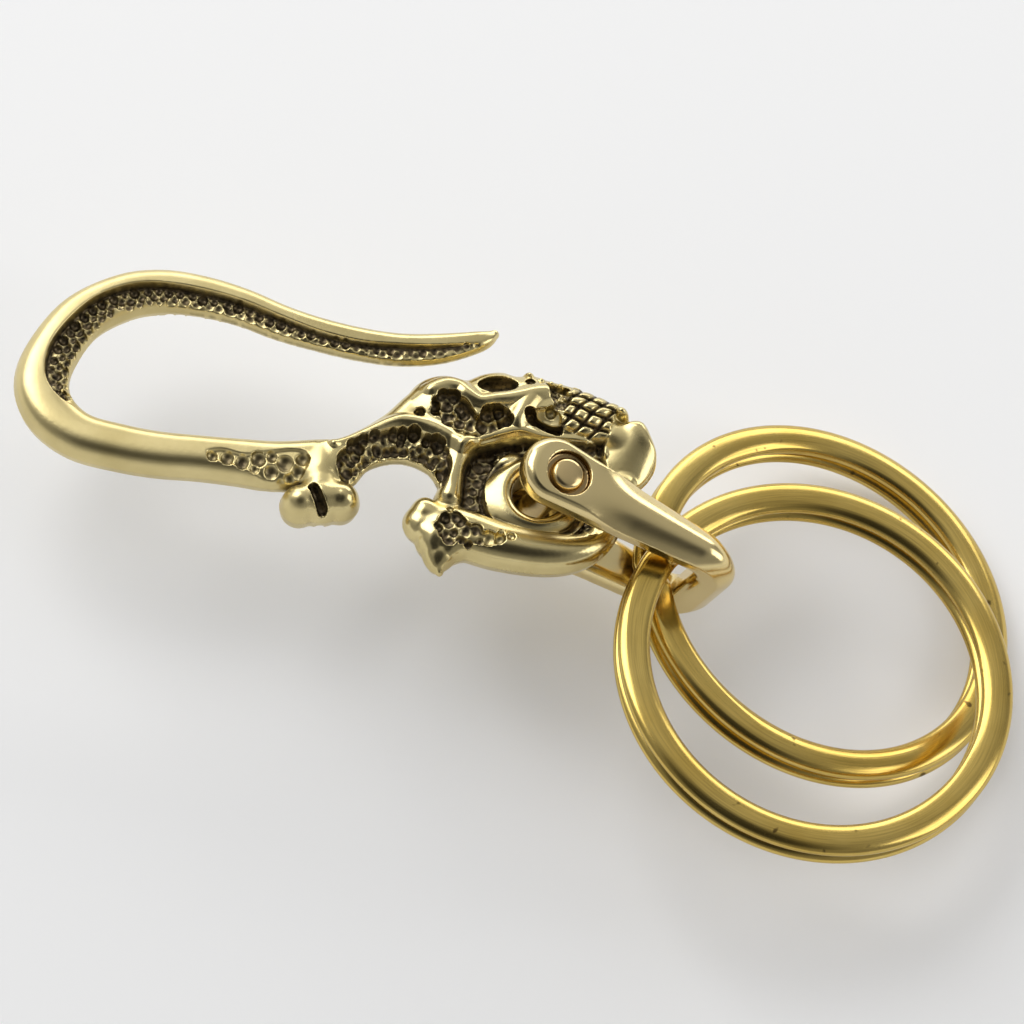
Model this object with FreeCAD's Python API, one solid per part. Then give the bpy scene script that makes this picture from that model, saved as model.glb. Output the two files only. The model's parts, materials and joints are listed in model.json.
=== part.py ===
import FreeCAD, Part
import math
import os

from FreeCAD import Matrix, Placement, Rotation, Vector

# Belt key clip: a cast skull hook, a riveted shackle and two split rings.
# The hook lies in the XY plane with its thickness along Z. The origin is in the middle of the belt gap.

# Cast body. Places on it are shares of its length, from the bend to the chin.
body_length = 55.0
shank_width = 4.0
shank_thickness = 3.8
arch_thickness = 4.7
skull_thickness = 5.8
cranium_thickness = 6.6
web_thickness = 2.0
pocket_depth = 1.2
channel_depth = 0.9
cut_overrun = 3.0
oval_point_count = 8

# Pivot eye in the jaw, with a rounded lip so that the pin can rock in it.
eye_bore_radius = 2.2
eye_wall = 1.7
eye_thickness = 4.0
eye_lip_radius = 0.8
eye_edge_radius = 0.5

# Shackle and its rivet.
shackle_gap = 7.4
arm_thickness = 2.8
arm_eye_width = 5.8
arm_bow_width = 2.8
arm_eye_end = 3.9
shackle_reach = 17.5
bow_thickness = 3.4
bow_outer_radius = 4.2
bow_inner_radius = 1.2
shackle_edge_radius = 1.0
counterbore_radius = 2.0
counterbore_depth = 0.8
pin_radius = 1.25
pin_head_radius = 1.5
pin_head_height = 0.6
pin_head_edge = 0.2
pin_clearance = 0.05

# How the shackle lies in the loose eye.
pin_lean_deg = 14.5
pin_lean_heading_deg = -30.0
shackle_turn_deg = 6.0
pin_side_play = 0.45
pin_side_play_heading_deg = 23.0
shackle_slide = 0.6

# Split rings, each wound from one wire in two turns.
ring_outer_radius = 17.5
ring_wire_width = 2.8
ring_wire_height = 1.28
ring_turn_gap = 0.44
ring_wire_edge = 0.42
ring_step_deg = 26.0
ring_end_gap_deg = 1.5
ring_step_sections = 7
ring_bow_play = 1.09
ring_gap_sample_deg = 4.0

# From the middle of the bow to the middle of a ring that hangs on it.
ring_hang = ring_outer_radius - ring_wire_width - bow_thickness / 2 - ring_bow_play

# How each ring hangs on the bow: place along the bow, swing round it, lean and step of the wire.
front_ring_offset = 2.45
front_ring_swing_deg = -23.3
front_ring_lean_deg = 9.3
front_ring_lean_heading_deg = 154.0
front_ring_step_deg = 184.0
back_ring_offset = -1.45
back_ring_swing_deg = 23.2
back_ring_lean_deg = 10.5
back_ring_lean_heading_deg = 103.0
back_ring_step_deg = 182.0

UP = Vector(0, 0, 1)
SIDE = Vector(0, 1, 0)
ORIGIN = Vector(0, 0, 0)

# Bones of the body. Each row is x and y as shares of the body's length, then the width
# and the thickness as shares of the shank's.
arm_shares = [
    (0.569, 0.076, 0.25, 0.26), (0.545, 0.064, 0.50, 0.45), (0.482, 0.050, 0.70, 0.61),
    (0.418, 0.047, 0.75, 0.68), (0.356, 0.056, 0.75, 0.74), (0.295, 0.073, 0.75, 0.76),
    (0.235, 0.094, 0.80, 0.79), (0.173, 0.122, 0.85, 0.84), (0.111, 0.141, 0.93, 0.87),
    (0.049, 0.149, 1.00, 0.89), (-0.013, 0.139, 1.05, 0.92), (-0.082, 0.100, 1.10, 0.95),
    (-0.129, 0.035, 1.18, 0.97), (-0.145, -0.019, 1.20, 1.00), (-0.132, -0.068, 1.15, 1.00),
    (-0.091, -0.107, 1.05, 1.00), (-0.029, -0.127, 1.02, 1.00), (0.029, -0.139, 1.00, 1.00),
    (0.093, -0.145, 0.97, 1.00), (0.155, -0.153, 1.02, 1.00), (0.216, -0.160, 1.12, 1.00),
    (0.280, -0.156, 1.10, 1.05),
]
channel_shares = [
    (0.552, 0.053, 0.12, 0.26), (0.476, 0.035, 0.42, 0.61), (0.415, 0.032, 0.47, 0.68),
    (0.351, 0.039, 0.42, 0.74), (0.289, 0.055, 0.45, 0.76), (0.229, 0.076, 0.53, 0.79),
    (0.167, 0.104, 0.53, 0.84), (0.107, 0.123, 0.55, 0.87), (0.044, 0.134, 0.50, 0.89),
    (-0.005, 0.127, 0.55, 0.92), (-0.050, 0.107, 0.55, 0.95), (-0.086, 0.073, 0.60, 0.97),
    (-0.113, 0.033, 0.60, 0.97), (-0.124, -0.011, 0.50, 1.00), (-0.116, -0.044, 0.30, 1.00),
    (-0.098, -0.066, 0.12, 1.00),
]
neck_shares = [
    (0.290, -0.145, 0.60, 0.95), (0.282, -0.173, 0.80, 1.11), (0.276, -0.215, 0.95, 1.26),
]
strut_shares = [
    (0.502, -0.138, 0.50, 1.32), (0.489, -0.175, 0.38, 1.26), (0.476, -0.222, 0.55, 1.16),
]
jaw_shares = [
    (0.425, -0.260, 0.95, 0.89), (0.460, -0.267, 1.15, 1.05), (0.504, -0.280, 1.12, 1.16),
    (0.551, -0.298, 1.05, 1.16), (0.615, -0.311, 0.97, 1.11), (0.662, -0.311, 0.85, 1.00),
    (0.700, -0.291, 0.75, 0.84), (0.731, -0.247, 0.65, 0.74), (0.751, -0.200, 0.65, 0.79),
]
chin_shares = [
    (0.747, -0.095, 0.65, 0.95), (0.758, -0.116, 1.00, 1.20), (0.769, -0.145, 1.12, 1.28),
    (0.773, -0.173, 0.92, 1.16), (0.768, -0.195, 0.45, 0.74),
]
spike_shares = [
    (0.460, -0.293, 0.85, 0.85), (0.452, -0.320, 0.68, 0.74), (0.453, -0.338, 0.42, 0.50),
    (0.456, -0.346, 0.16, 0.22),
]
eye_point_shares = [
    (0.533, -0.231, 0.15, 0.45), (0.552, -0.230, 0.70, 0.80), (0.590, -0.228, 1.30, 0.95),
]

# Closed outlines, as shares of the body's length.
arch_outline_shares = [
    (0.276, -0.131), (0.322, -0.113), (0.380, -0.076), (0.436, -0.031), (0.496, -0.055),
    (0.505, -0.145), (0.484, -0.211), (0.465, -0.204), (0.447, -0.171), (0.405, -0.153),
    (0.358, -0.164), (0.331, -0.193), (0.298, -0.204),
]
skull_outline_shares = [
    (0.440, -0.025), (0.478, -0.009), (0.509, -0.015), (0.542, -0.002), (0.573, 0.002),
    (0.596, -0.005), (0.620, -0.004), (0.651, -0.015), (0.691, -0.027), (0.731, -0.045),
    (0.764, -0.065), (0.760, -0.100), (0.718, -0.140), (0.655, -0.142), (0.600, -0.136),
    (0.545, -0.149), (0.496, -0.158), (0.455, -0.131), (0.424, -0.095), (0.416, -0.055),
]
web_outline_shares = [
    (0.487, -0.164), (0.545, -0.120), (0.655, -0.105), (0.752, -0.122), (0.745, -0.235),
    (0.691, -0.298), (0.582, -0.295), (0.491, -0.240),
]
arch_recess_shares = [
    (0.307, -0.158), (0.336, -0.133), (0.404, -0.107), (0.455, -0.120), (0.478, -0.167),
    (0.469, -0.207), (0.445, -0.187), (0.400, -0.164), (0.353, -0.173), (0.322, -0.195),
]
temple_pocket_shares = [
    (0.431, -0.087), (0.480, -0.053), (0.515, -0.065), (0.564, -0.071), (0.576, -0.093),
    (0.549, -0.127), (0.516, -0.136), (0.473, -0.115),
]
cheek_pocket_shares = [
    (0.596, -0.095), (0.618, -0.080), (0.655, -0.085), (0.653, -0.122), (0.622, -0.115),
]
jaw_pocket_shares = [
    (0.453, -0.269), (0.473, -0.253), (0.500, -0.268), (0.529, -0.291), (0.555, -0.305), (0.547, -0.320),
    (0.509, -0.318), (0.464, -0.306),
]
shank_pocket_shares = [
    (0.102, -0.153), (0.151, -0.145), (0.200, -0.144), (0.255, -0.155), (0.256, -0.171),
    (0.236, -0.189), (0.182, -0.185), (0.136, -0.173),
]

# A plate swells from its flat faces to its full outline: height and outline size at each level.
plate_level_shares = [(-1.0, 0.80), (-0.78, 0.92), (-0.32, 1.0), (0.32, 1.0), (0.78, 0.92), (1.0, 0.80)]

# Rounded lumps: place as shares of the body's length, half-sizes as shares of the shank's width.
knuckle_shares = [(0.245, -0.229, 0.88, 0.82, 1.25), (0.309, -0.225, 0.80, 0.78, 1.20)]
tip_shares = [(0.569, 0.076, 0.31, 0.31, 0.31)]
jaw_end_shares = [(0.428, -0.240, 0.62, 0.62, 0.85), (0.438, -0.293, 0.64, 0.70, 0.86)]
cranium_share = (0.480, -0.062)
cranium_size_shares = (1.75, 1.55)
eye_socket_share = (0.560, -0.043)
eye_socket_size_shares = (0.86, 0.50)
eye_socket_turn_deg = 8.0
nose_share = (0.611, -0.006)
nose_size_shares = (0.32, 0.30, 0.42)
eye_share = (0.6135, -0.2215)

# Teeth: grooves cut across the front of the jaws.
tooth_row_start_share = (0.660, -0.022)
tooth_row_end_share = (0.752, -0.068)
tooth_depth_share = 0.088
tooth_count = 5
tooth_groove_width = 0.32
tooth_groove_depth = 0.45


def body_point(share_x, share_y, height=0.0):
    """A point of the body, given in shares of its length."""
    return Vector(share_x * body_length, share_y * body_length, height)


def closed_curve(points):
    """A smooth closed wire through the points."""
    curve = Part.BSplineCurve()
    curve.interpolate(points, PeriodicFlag=True)
    return Part.Wire([curve.toShape()])


def oval(centre, across, half_width, half_height):
    """An oval section, half_width along across and half_height along Z."""
    points = []
    for step in range(oval_point_count):
        angle = 2 * math.pi * step / oval_point_count
        points.append(centre + across * (half_width * math.cos(angle)) + UP * (half_height * math.sin(angle)))
    return closed_curve(points)


def bone(shares, width=shank_width, thickness=shank_thickness, height=0.0):
    """A tapered bone lofted through oval sections square to its path."""
    centres = [body_point(row[0], row[1], height) for row in shares]
    sections = []
    for index, row in enumerate(shares):
        before = centres[max(index - 1, 0)]
        after = centres[min(index + 1, len(centres) - 1)]
        along = after.sub(before).normalize()
        across = UP.cross(along)
        sections.append(oval(centres[index], across, row[2] * width / 2, row[3] * thickness / 2))
    return Part.makeLoft(sections, True, False)


def egg(centre, half_x, half_y, half_z, turn_deg=0.0):
    """An ellipsoid turned about Z."""
    scale = Matrix()
    scale.scale(half_x, half_y, half_z)
    shape = Part.makeSphere(1, ORIGIN, SIDE).transformGeometry(scale)
    shape.Placement = Placement(centre, Rotation(UP, turn_deg))
    return shape


def lumps(shares):
    """Eggs at the ends of a bone, sized by the shank's width."""
    half = shank_width / 2
    return [egg(body_point(x, y), a * half, b * half, c * half) for x, y, a, b, c in shares]


def plate(outline_shares, thickness):
    """A plate with swelling edges: the outline at mid height, drawn in towards both faces."""
    points = [body_point(x, y) for x, y in outline_shares]
    middle = ORIGIN
    for point in points:
        middle = middle + point * (1 / len(points))
    sections = []
    for height_share, size_share in plate_level_shares:
        rise = UP * (height_share * thickness / 2)
        sections.append(closed_curve([middle + (point - middle) * size_share + rise for point in points]))
    return Part.makeLoft(sections, True, False)


def pocket(outline_shares, floor):
    """A cutter for a pocket in the front face, from its floor to well above the body."""
    points = [body_point(x, y, floor) for x, y in outline_shares]
    return Part.Face(closed_curve(points)).extrude(UP * (skull_thickness / 2 + cut_overrun - floor))


def mirrored(shape):
    """The same cutter on the back face."""
    return shape.mirror(ORIGIN, UP)


def eye_boss():
    """The rounded wall round the pivot eye."""
    radius = eye_bore_radius + eye_wall
    centre = body_point(*eye_share, -eye_thickness / 2)
    boss = Part.makeCylinder(radius, eye_thickness, centre, UP)
    rims = [edge for edge in boss.Edges if edge.isClosed()]
    return boss.makeFillet(eye_edge_radius, rims)


def eye_bore():
    """The bore through the eye, flared to a rounded lip at both faces."""
    half = eye_thickness / 2
    straight = half - eye_lip_radius
    mouth = eye_bore_radius + eye_lip_radius
    dip = eye_lip_radius * (1 - math.sqrt(0.5))
    turned = eye_bore_radius + dip
    top = half + cut_overrun
    lip_up = Part.Arc(
        Vector(eye_bore_radius, 0, straight), Vector(turned, 0, half - dip), Vector(mouth, 0, half))
    lip_down = Part.Arc(
        Vector(mouth, 0, -half), Vector(turned, 0, dip - half), Vector(eye_bore_radius, 0, -straight))
    corners = [
        Part.LineSegment(Vector(0, 0, -top), Vector(mouth, 0, -top)),
        Part.LineSegment(Vector(mouth, 0, -top), Vector(mouth, 0, -half)),
        lip_down,
        Part.LineSegment(Vector(eye_bore_radius, 0, -straight), Vector(eye_bore_radius, 0, straight)),
        lip_up,
        Part.LineSegment(Vector(mouth, 0, half), Vector(mouth, 0, top)),
        Part.LineSegment(Vector(mouth, 0, top), Vector(0, 0, top)),
        Part.LineSegment(Vector(0, 0, top), Vector(0, 0, -top)),
    ]
    profile = Part.Face(Part.Wire([corner.toShape() for corner in corners]))
    bore = profile.revolve(ORIGIN, UP, 360)
    bore.translate(body_point(*eye_share))
    return bore


def tooth_grooves():
    """Cutters for the lines between the teeth, square to the row of teeth."""
    start = body_point(*tooth_row_start_share)
    end = body_point(*tooth_row_end_share)
    along = end.sub(start)
    heading = math.degrees(math.atan2(along.y, along.x))
    depth = tooth_depth_share * body_length
    grooves = []
    for index in range(tooth_count):
        centre = start + along * (index / (tooth_count - 1))
        groove = Part.makeBox(tooth_groove_width, depth, skull_thickness)
        groove.translate(Vector(-tooth_groove_width / 2, -depth, skull_thickness / 2 - tooth_groove_depth))
        groove.Placement = Placement(centre, Rotation(UP, heading)).multiply(groove.Placement)
        grooves.append(groove)
    line = Part.makeBox(along.Length, tooth_groove_width, skull_thickness)
    line.translate(Vector(0, -depth / 2, skull_thickness / 2 - tooth_groove_depth))
    line.Placement = Placement(start, Rotation(UP, heading)).multiply(line.Placement)
    grooves.append(line)
    return grooves


def front_cutters():
    """Everything carved into the front face."""
    half_shank = shank_thickness / 2
    half_skull = skull_thickness / 2
    cutters = [
        pocket(arch_recess_shares, arch_thickness / 2 - pocket_depth),
        pocket(temple_pocket_shares, half_skull - pocket_depth),
        pocket(cheek_pocket_shares, half_skull - pocket_depth),
        pocket(jaw_pocket_shares, half_shank - pocket_depth / 2),
        pocket(shank_pocket_shares, half_shank - pocket_depth / 2),
    ]
    socket = [share * shank_width for share in eye_socket_size_shares]
    socket_centre = body_point(*eye_socket_share, half_skull)
    cutters.append(egg(socket_centre, *socket, pocket_depth * 2, eye_socket_turn_deg))
    nose = [share * shank_width for share in nose_size_shares]
    cutters.append(egg(body_point(*nose_share, half_skull / 2), *nose))
    cutters += tooth_grooves()
    return cutters


def arm_channel():
    """The carved channel that follows the front of the hook arm round the bend."""
    sections = []
    centres = [body_point(x, y, rise * shank_thickness / 2) for x, y, _, rise in channel_shares]
    for index, row in enumerate(channel_shares):
        before = centres[max(index - 1, 0)]
        after = centres[min(index + 1, len(centres) - 1)]
        along = after.sub(before).normalize()
        across = UP.cross(along).normalize()
        sections.append(oval(centres[index], across, row[2] * shank_width / 2, row[3] * channel_depth))
    return Part.makeLoft(sections, True, False)


def hook_body():
    """The casting: hook, knuckle, arch, skull, jaw and pivot eye in one solid."""
    cranium = [share * shank_width / 2 for share in cranium_size_shares]
    solids = [
        bone(arm_shares),
        bone(neck_shares),
        plate(arch_outline_shares, arch_thickness),
        plate(skull_outline_shares, skull_thickness),
        egg(body_point(*cranium_share), *cranium, cranium_thickness / 2),
        bone(chin_shares),
        plate(web_outline_shares, web_thickness),
        bone(strut_shares),
        bone(jaw_shares),
        bone(spike_shares),
        bone(eye_point_shares),
        eye_boss(),
    ]
    solids += lumps(tip_shares)
    solids += lumps(knuckle_shares)
    solids += lumps(jaw_end_shares)
    body = solids[0].multiFuse(solids[1:])
    cutters = front_cutters() + [arm_channel()]
    cutters += [mirrored(cutter) for cutter in cutters]
    cutters.append(eye_bore())
    carved = body.cut(cutters)
    return max(carved.Solids, key=lambda solid: solid.Volume)


def shackle_place():
    """Where the shackle lies: the middle of its pin, its Z along the pin and its X along the arms."""
    turn = Rotation(UP, pin_lean_heading_deg)
    turn = turn.multiply(Rotation(SIDE, pin_lean_deg))
    turn = turn.multiply(Rotation(UP, shackle_turn_deg))
    heading = math.radians(pin_side_play_heading_deg)
    play = Vector(math.cos(heading), math.sin(heading), 0) * pin_side_play
    slide = turn.multVec(UP) * shackle_slide
    return Placement(body_point(*eye_share) + play + slide, turn)


def arm_outline():
    """Plan outline of an arm: a round eye end that narrows to the bow."""
    eye_radius = arm_eye_width / 2
    eye_x = eye_radius - arm_eye_end
    lean = math.atan2((arm_eye_width - arm_bow_width) / 2, shackle_reach - eye_x)
    eye_centre = Vector(eye_x, 0, 0)
    top = eye_centre + Vector(math.sin(lean), math.cos(lean), 0) * eye_radius
    bow = Vector(shackle_reach, top.y - (shackle_reach - top.x) * math.tan(lean), 0)
    low_top = Vector(top.x, -top.y, 0)
    low_bow = Vector(bow.x, -bow.y, 0)
    edges = [
        Part.Arc(low_top, eye_centre - Vector(eye_radius, 0, 0), top),
        Part.LineSegment(top, bow),
        Part.LineSegment(bow, low_bow),
        Part.LineSegment(low_bow, low_top),
    ]
    return Part.Wire([edge.toShape() for edge in edges])


def round_corner(solid, radius, x, heights):
    """Round the corners of a side profile that stand at x and at the given heights."""
    corners = []
    for edge in solid.Edges:
        centre = edge.CenterOfMass
        level = min(abs(abs(centre.z) - height) for height in heights)
        along_y = abs(edge.tangentAt(edge.FirstParameter).y) > math.sqrt(0.5)
        if along_y and math.isclose(centre.x, x, abs_tol=pin_clearance) and level < pin_clearance:
            corners.append(edge)
    return solid.makeFillet(radius, corners)


def shackle():
    """U-shaped side profile crossed with the tapered plan outline, then rounded and bored."""
    outer = shackle_gap / 2 + arm_thickness
    length = arm_eye_end + shackle_reach
    block = Part.makeBox(length, arm_eye_width, 2 * outer, Vector(-arm_eye_end, -arm_eye_width / 2, -outer))
    block = round_corner(block, bow_outer_radius, shackle_reach, [outer])
    bow_x = shackle_reach - bow_thickness
    window = Part.makeBox(
        arm_eye_end + bow_x + cut_overrun, arm_eye_width + cut_overrun, shackle_gap,
        Vector(-arm_eye_end - cut_overrun, -(arm_eye_width + cut_overrun) / 2, -shackle_gap / 2))
    window = round_corner(window, bow_inner_radius, bow_x, [shackle_gap / 2])
    plan = Part.Face(arm_outline()).extrude(UP * (2 * outer))
    plan.translate(UP * -outer)
    body = block.common(plan).cut(window).removeSplitter()
    body = body.makeFillet(shackle_edge_radius, long_edges(body, bow_x))
    hole = pin_radius + pin_clearance
    cutters = [Part.makeCylinder(hole, 2 * outer + cut_overrun, UP * (-outer - cut_overrun / 2), UP)]
    for side in (UP, UP * -1):
        floor = side * (outer - counterbore_depth)
        cutters.append(Part.makeCylinder(counterbore_radius, cut_overrun, floor, side))
    return body.cut(cutters)


def long_edges(body, bow_x):
    """The sharp edges that run along the arms and round the bow, not the seams across them."""
    edges = []
    for edge in body.Edges:
        along = edge.tangentAt(edge.FirstParameter)
        straight = edge.Curve.TypeId == "Part::GeomLine"
        across = straight and abs(along.y) > math.sqrt(0.5)
        seam = straight and abs(along.z) > math.sqrt(0.5) and edge.CenterOfMass.x < bow_x - pin_clearance
        if not across and not seam:
            edges.append(edge)
    return edges


def shackle_pin():
    """Rivet with a peened head at each end, each sunk in its counterbore."""
    seat = shackle_gap / 2 + arm_thickness - counterbore_depth + pin_clearance
    shaft = Part.makeCylinder(pin_radius, 2 * seat, UP * -seat, UP)
    heads = []
    for side in (UP, UP * -1):
        head = Part.makeCylinder(pin_head_radius, pin_head_height, side * seat, side)
        rim = [edge for edge in head.Edges if math.isclose(abs(edge.CenterOfMass.z), seat + pin_head_height)]
        heads.append(head.makeFillet(pin_head_edge, rim))
    return shaft.multiFuse(heads).removeSplitter()


def wire_section(level):
    """Bevelled section of the ring's wire in the XZ plane, at the given height."""
    inner = ring_outer_radius - ring_wire_width
    corner = Vector(inner, 0, level + ring_wire_height / 2)
    face = Part.makePlane(ring_wire_width, ring_wire_height, corner, SIDE, Vector(1, 0, 0))
    box = face.extrude(SIDE)
    sides = [edge for edge in box.Edges if abs(edge.tangentAt(edge.FirstParameter).y) > math.sqrt(0.5)]
    bevelled = box.makeChamfer(ring_wire_edge, sides)
    ends = [piece for piece in bevelled.Faces if math.isclose(piece.CenterOfMass.y, 0, abs_tol=pin_clearance)]
    return ends[0].OuterWire


def wire_level(along_deg):
    """Height of the wire at an angle along it: a flat turn, an eased step up and a second flat turn."""
    turn_deg = 360 - ring_step_deg - ring_end_gap_deg
    share = min(max((along_deg - turn_deg) / ring_step_deg, 0), 1)
    ease = share * share * (3 - 2 * share)
    return (ease - 0.5) * (ring_wire_height + ring_turn_gap)


def split_ring(step_at_deg):
    """One wire in two flat turns, joined by a step from the lower turn to the upper one."""
    turn_deg = 360 - ring_step_deg - ring_end_gap_deg
    lower = Part.Face(wire_section(wire_level(0))).revolve(ORIGIN, UP, turn_deg)
    sections = []
    for index in range(ring_step_sections):
        along_deg = turn_deg + ring_step_deg * index / (ring_step_sections - 1)
        section = wire_section(wire_level(along_deg))
        section.rotate(ORIGIN, UP, along_deg)
        sections.append(section)
    step = Part.makeLoft(sections, True, False)
    upper = Part.Face(wire_section(wire_level(along_deg))).revolve(ORIGIN, UP, turn_deg)
    upper.rotate(ORIGIN, UP, along_deg)
    ring = lower.multiFuse([step, upper])
    ring.rotate(ORIGIN, UP, step_at_deg - turn_deg - ring_step_deg / 2)
    return ring


def least_turn_gap():
    """The least gap between the two turns of a ring, measured on points along the edges of the wire."""
    total_deg = 2 * (360 - ring_step_deg - ring_end_gap_deg) + ring_step_deg
    middle = ring_outer_radius - ring_wire_width / 2
    inset = ring_wire_width / 2 - ring_wire_edge
    below, above = [], []
    for index in range(round(total_deg / ring_gap_sample_deg)):
        along_deg = index * ring_gap_sample_deg
        angle = math.radians(along_deg)
        for radius in (middle - inset, middle + inset):
            foot = Vector(radius * math.cos(angle), radius * math.sin(angle), wire_level(along_deg))
            below.append((along_deg, foot - UP * (ring_wire_height / 2)))
            above.append((along_deg, foot + UP * (ring_wire_height / 2)))
    pairs = [(low, high) for at, low in below for other, high in above if at - other > 180]
    return min(low.distanceToPoint(high) for low, high in pairs)


def ring_place(offset, swing_deg, lean_deg, lean_heading_deg):
    """A ring on the bow, in the shackle's own frame: its centre hangs out from the bow."""
    lean = Rotation(UP, lean_heading_deg).multiply(Rotation(SIDE, lean_deg))
    turn = lean.multiply(Rotation(UP, swing_deg - lean_heading_deg))
    bow = Vector(shackle_reach - bow_thickness / 2, 0, offset)
    return Placement(bow + turn.multVec(Vector(ring_hang, 0, 0)), turn)


def placed(shape, place):
    """A copy of a shape, moved to its place."""
    moved = shape.copy()
    moved.Placement = place.multiply(moved.Placement)
    return moved


def assembly():
    """Every node of the clip, in place."""
    on_shackle = shackle_place()
    front = ring_place(
        front_ring_offset, front_ring_swing_deg, front_ring_lean_deg, front_ring_lean_heading_deg)
    back = ring_place(
        back_ring_offset, back_ring_swing_deg, back_ring_lean_deg, back_ring_lean_heading_deg)
    return {
        "hook_body": hook_body(),
        "shackle": placed(shackle(), on_shackle),
        "shackle_pin": placed(shackle_pin(), on_shackle),
        "front_split_ring": placed(split_ring(front_ring_step_deg), on_shackle.multiply(front)),
        "back_split_ring": placed(split_ring(back_ring_step_deg), on_shackle.multiply(back)),
    }


os.makedirs("parts", exist_ok=True)
print("least gap between the turns of a ring:", round(least_turn_gap(), 3), "mm")
for node, shape in assembly().items():
    state = "valid" if shape.isValid() else "not valid"
    print(node, len(shape.Solids), "solid", state, round(shape.Volume, 3))
    shape.exportStep("parts/" + node + ".step")
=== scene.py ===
import json
import math

import bpy
import numpy as np
import openvdb
from mathutils import Matrix, Vector


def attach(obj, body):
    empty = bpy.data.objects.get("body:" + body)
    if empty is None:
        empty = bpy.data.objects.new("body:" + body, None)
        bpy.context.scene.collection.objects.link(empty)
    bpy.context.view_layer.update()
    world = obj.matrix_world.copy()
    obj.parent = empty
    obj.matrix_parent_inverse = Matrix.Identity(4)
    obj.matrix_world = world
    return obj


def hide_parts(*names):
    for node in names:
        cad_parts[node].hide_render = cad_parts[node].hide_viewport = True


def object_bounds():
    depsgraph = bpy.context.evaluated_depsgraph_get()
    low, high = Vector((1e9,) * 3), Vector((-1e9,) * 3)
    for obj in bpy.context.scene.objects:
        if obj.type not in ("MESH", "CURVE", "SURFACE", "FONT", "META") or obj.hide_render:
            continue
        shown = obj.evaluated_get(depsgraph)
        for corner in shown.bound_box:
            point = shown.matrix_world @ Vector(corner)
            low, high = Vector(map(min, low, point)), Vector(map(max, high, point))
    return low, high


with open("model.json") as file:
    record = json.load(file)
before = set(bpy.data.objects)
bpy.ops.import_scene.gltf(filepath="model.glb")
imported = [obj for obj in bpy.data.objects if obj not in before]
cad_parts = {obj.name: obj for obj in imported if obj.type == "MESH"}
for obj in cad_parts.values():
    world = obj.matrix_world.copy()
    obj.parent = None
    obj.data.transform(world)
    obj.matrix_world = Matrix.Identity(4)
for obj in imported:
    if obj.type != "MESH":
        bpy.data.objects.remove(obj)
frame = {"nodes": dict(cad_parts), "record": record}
cad_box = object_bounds()
record = frame["record"]

# Shapes are worked out in millimetres, and their meshes are in metres.
MM = 0.001
# What stands for no length in a division, and for a distance out of reach.
TINY = 1e-9
FAR = 50.0

# The casting is sculpted as a relief, the same on both faces: a signed height over the plan, which is
# positive inside the outline. It becomes a closed mesh through a level set.
CELL = 0.08
PLAN_LOW = (-11.6, -20.2)
PLAN_HIGH = (45.8, 11.2)
TOP = 3.9

x_axis = np.arange(PLAN_LOW[0], PLAN_HIGH[0], CELL)
y_axis = np.arange(PLAN_LOW[1], PLAN_HIGH[1], CELL)
X, Y = np.meshgrid(x_axis, y_axis, indexing="ij")

# Bones: x, y, half-width and half-thickness at each station.
ARM = [
    (31.3, 4.2, 0.45, 0.45), (30.0, 3.5, 0.95, 0.85), (26.5, 2.75, 1.4, 1.15), (23.0, 2.6, 1.5, 1.3),
    (19.6, 3.1, 1.5, 1.4), (16.2, 4.0, 1.5, 1.45), (12.9, 5.15, 1.6, 1.5), (9.5, 6.7, 1.7, 1.6),
    (6.1, 7.75, 1.85, 1.65), (2.7, 8.2, 2.0, 1.7), (-0.7, 7.65, 2.1, 1.75), (-4.5, 5.5, 2.2, 1.8),
    (-7.1, 1.9, 2.35, 1.85), (-8.0, -1.05, 2.4, 1.9), (-7.25, -3.75, 2.3, 1.9), (-5.0, -5.9, 2.1, 1.9),
    (-1.6, -7.0, 2.05, 1.9), (1.6, -7.65, 2.0, 1.9), (5.1, -8.0, 1.95, 1.9), (8.5, -8.4, 2.05, 1.9),
    (11.9, -8.8, 2.25, 1.9), (15.4, -8.6, 2.2, 2.0),
]
NECK = [(15.95, -8.0, 1.2, 1.8), (15.5, -9.5, 1.6, 2.1), (15.2, -11.8, 1.9, 2.4)]
STRUT = [(27.6, -7.6, 1.45, 2.5), (26.95, -9.6, 0.9, 2.4), (26.2, -12.2, 1.3, 2.2)]
JAW = [
    (24.0, -14.3, 1.85, 1.7), (25.5, -14.7, 2.3, 2.0), (27.7, -15.4, 2.25, 2.2), (30.3, -16.4, 2.1, 2.2),
    (33.8, -17.1, 1.95, 2.1), (36.4, -17.1, 1.7, 1.9), (38.5, -16.0, 1.5, 1.6), (40.2, -13.6, 1.3, 1.4),
    (41.3, -11.0, 1.3, 1.5),
]
SPIKE = [
    (25.4, -16.1, 1.75, 1.6), (25.1, -17.5, 1.5, 1.45), (25.0, -18.4, 0.95, 1.0),
    (25.05, -18.9, 0.35, 0.45),
]
# The arm is a little narrower than its rows, which keeps it inside the solid's box, and its top is flatter
# than the other bones'.
ARM_NARROWING = 0.985
ARM_POWER = 2.9
BONE_POWER = 2.2

# Eggs: x, y, half-length, half-width and half-thickness, and a turn in degrees for the gum.
KNUCKLE_LOBES = [(13.5, -12.6, 1.75, 1.65, 2.45), (17.0, -12.3, 1.65, 1.7, 2.4)]
KNUCKLE_MIDDLE = (15.25, -12.45, 2.3, 1.72, 2.4)
SKULL_DOME = (26.4, -3.4, 3.5, 3.1, 3.0)
WEB_LUMP = (31.6, -8.8, 1.7, 1.1, 1.5)
GUM = (40.7, -6.4, 2.1, 1.8, 2.25, -40.0)
JAW_END = [
    (24.1, -13.2, 1.25, 1.25, 1.75), (24.4, -16.0, 1.28, 1.4, 1.75), (26.4, -16.8, 1.3, 1.1, 1.5),
]
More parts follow.
